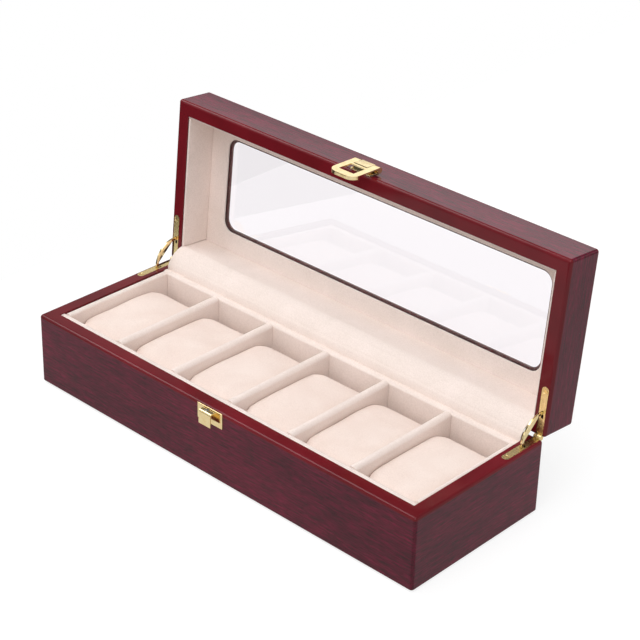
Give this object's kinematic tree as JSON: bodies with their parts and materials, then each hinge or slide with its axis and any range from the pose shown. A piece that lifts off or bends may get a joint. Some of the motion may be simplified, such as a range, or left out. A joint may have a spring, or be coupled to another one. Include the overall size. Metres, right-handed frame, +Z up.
{
  "type": "watch box",
  "caption": "Long lacquered wooden watch box with a glazed hinged lid, padded compartments with removable pillows, lid stays and a front hasp.",
  "frame": {"origin": "centre of the flat underside of the base", "axes": "+X along the length, +Y towards the hinges at the back, +Z up"},
  "size_m": [0.31, 0.1516, 0.1634],
  "materials": {
    "lacquered_rosewood": "high-gloss lacquer over dark rosewood veneer",
    "board": "plain board",
    "velvet_base": "short-pile velvet",
    "pillow_velvet": "cream short-pile velvet over foam",
    "lining_velvet": "cream short-pile velvet over card",
    "hinge_cloth": "cream short-pile velvet",
    "glass": "clear",
    "brass": "polished",
    "steel": "satin"
  },
  "bodies": {
    "base": {"base_front_wall": "lacquered_rosewood", "base_back_wall": "lacquered_rosewood", "base_left_wall": "lacquered_rosewood", "base_right_wall": "lacquered_rosewood", "base_bottom_panel": "board", "base_felt_pad": "velvet_base", "base_floor_lining": "lining_velvet", "base_front_lining": "lining_velvet", "base_back_lining": "lining_velvet", "base_left_lining": "lining_velvet", "base_right_lining": "lining_velvet", "divider_1": "lining_velvet", "divider_2": "lining_velvet", "divider_3": "lining_velvet", "divider_4": "lining_velvet", "divider_5": "lining_velvet", "base_hinge_leaf_left": "brass", "base_hinge_leaf_right": "brass", "base_hinge_screws": "brass", "hinge_pins": "brass", "catch_plate": "brass", "catch_screw": "steel", "hinge_cover_cloth": "hinge_cloth"},
    "lid": {"lid_front_wall": "lacquered_rosewood", "lid_back_wall": "lacquered_rosewood", "lid_left_wall": "lacquered_rosewood", "lid_right_wall": "lacquered_rosewood", "lid_window_frame": "lacquered_rosewood", "window_glass": "glass", "lid_top_lining": "lining_velvet", "lid_front_lining": "lining_velvet", "lid_back_lining": "lining_velvet", "lid_left_lining": "lining_velvet", "lid_right_lining": "lining_velvet", "lid_hinge_leaf_left": "brass", "lid_hinge_leaf_right": "brass", "lid_hinge_screws": "brass", "hasp_mount_plate": "brass", "hasp_nails": "brass", "hasp_pin": "brass"},
    "hasp_flap": {"hasp_flap": "brass"},
    "stay_arm_left": {"stay_arm_left": "brass"},
    "stay_arm_right": {"stay_arm_right": "brass"},
    "pillow_1": {"pillow_1": "pillow_velvet"},
    "pillow_2": {"pillow_2": "pillow_velvet"},
    "pillow_3": {"pillow_3": "pillow_velvet"},
    "pillow_4": {"pillow_4": "pillow_velvet"},
    "pillow_5": {"pillow_5": "pillow_velvet"},
    "pillow_6": {"pillow_6": "pillow_velvet"}
  },
  "joints": [
    {"name": "lid_hinge", "type": "hinge", "parent": "base", "child": "lid", "pos_m": [0, 0.0553, 0.04845], "axis": [-1, 0, 0], "range_deg": [-95, 0], "deforming": ["hinge_cover_cloth"]},
    {"name": "stay_left", "type": "hinge", "parent": "base", "child": "stay_arm_left", "pos_m": [0, 0.0553, 0.04845], "axis": [-1, 0, 0], "range_deg": [-47.5, 0]},
    {"name": "stay_right", "type": "hinge", "parent": "base", "child": "stay_arm_right", "pos_m": [0, 0.0553, 0.04845], "axis": [-1, 0, 0], "range_deg": [-47.5, 0]},
    {"name": "hasp_hinge", "type": "hinge", "parent": "lid", "child": "hasp_flap", "pos_m": [0, 0.0725, 0.16068], "axis": [-1, 0, 0], "range_deg": [-2, 113]},
    {"name": "pillow_1_lift", "type": "slide", "parent": "base", "child": "pillow_1", "axis": [0, 0, 1], "range_m": [0, 0.05]},
    {"name": "pillow_2_lift", "type": "slide", "parent": "base", "child": "pillow_2", "axis": [0, 0, 1], "range_m": [0, 0.05]},
    {"name": "pillow_3_lift", "type": "slide", "parent": "base", "child": "pillow_3", "axis": [0, 0, 1], "range_m": [0, 0.05]},
    {"name": "pillow_4_lift", "type": "slide", "parent": "base", "child": "pillow_4", "axis": [0, 0, 1], "range_m": [0, 0.05]},
    {"name": "pillow_5_lift", "type": "slide", "parent": "base", "child": "pillow_5", "axis": [0, 0, 1], "range_m": [0, 0.05]},
    {"name": "pillow_6_lift", "type": "slide", "parent": "base", "child": "pillow_6", "axis": [0, 0, 1], "range_m": [0, 0.05]}
  ],
  "couplings": [
    {"joint": "stay_left", "follows": "lid_hinge", "ratio": 0.5},
    {"joint": "stay_right", "follows": "lid_hinge", "ratio": 0.5}
  ]
}
